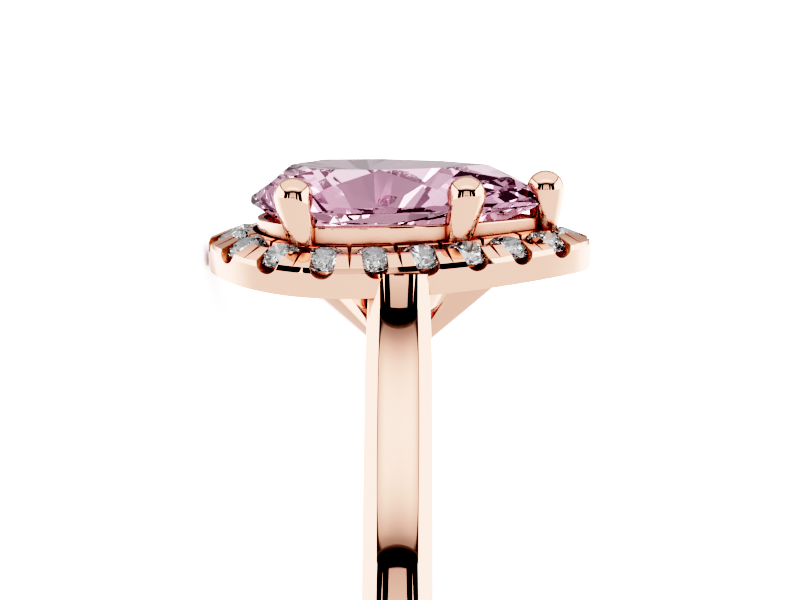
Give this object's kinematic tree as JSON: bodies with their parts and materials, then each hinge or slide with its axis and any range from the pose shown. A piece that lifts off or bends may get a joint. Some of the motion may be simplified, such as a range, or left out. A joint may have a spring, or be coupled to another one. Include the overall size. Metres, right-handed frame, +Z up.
{
  "type": "halo ring",
  "caption": "Finger ring with a pear-shaped pink stone in claw prongs, a raised rim of small round clear stones around it, and a plain bevelled band; lying on its side.",
  "frame": {"origin": "middle of the bounding box's footprint, on the surface the ring lies on", "axes": "+Z up; +X from the head of the ring towards the band opposite it; Y across the ring; the finger hole's axis leans 14 degrees from +Z towards +X"},
  "size_m": [0.0256, 0.0202, 0.0126],
  "materials": {
    "rose_gold": "polished rose gold",
    "pink_stone": "faceted, polished",
    "clear_stone": "faceted, polished"
  },
  "bodies": {
    "root": {"rose_gold_ring": "rose_gold", "pear_stone": "pink_stone", "halo_stone_01": "clear_stone", "halo_stone_02": "clear_stone", "halo_stone_03": "clear_stone", "halo_stone_04": "clear_stone", "halo_stone_05": "clear_stone", "halo_stone_06": "clear_stone", "halo_stone_07": "clear_stone", "halo_stone_08": "clear_stone", "halo_stone_09": "clear_stone", "halo_stone_10": "clear_stone", "halo_stone_11": "clear_stone", "halo_stone_12": "clear_stone", "halo_stone_13": "clear_stone", "halo_stone_14": "clear_stone", "halo_stone_15": "clear_stone", "halo_stone_16": "clear_stone", "halo_stone_17": "clear_stone", "halo_stone_18": "clear_stone", "halo_stone_19": "clear_stone"}
  },
  "joints": []
}
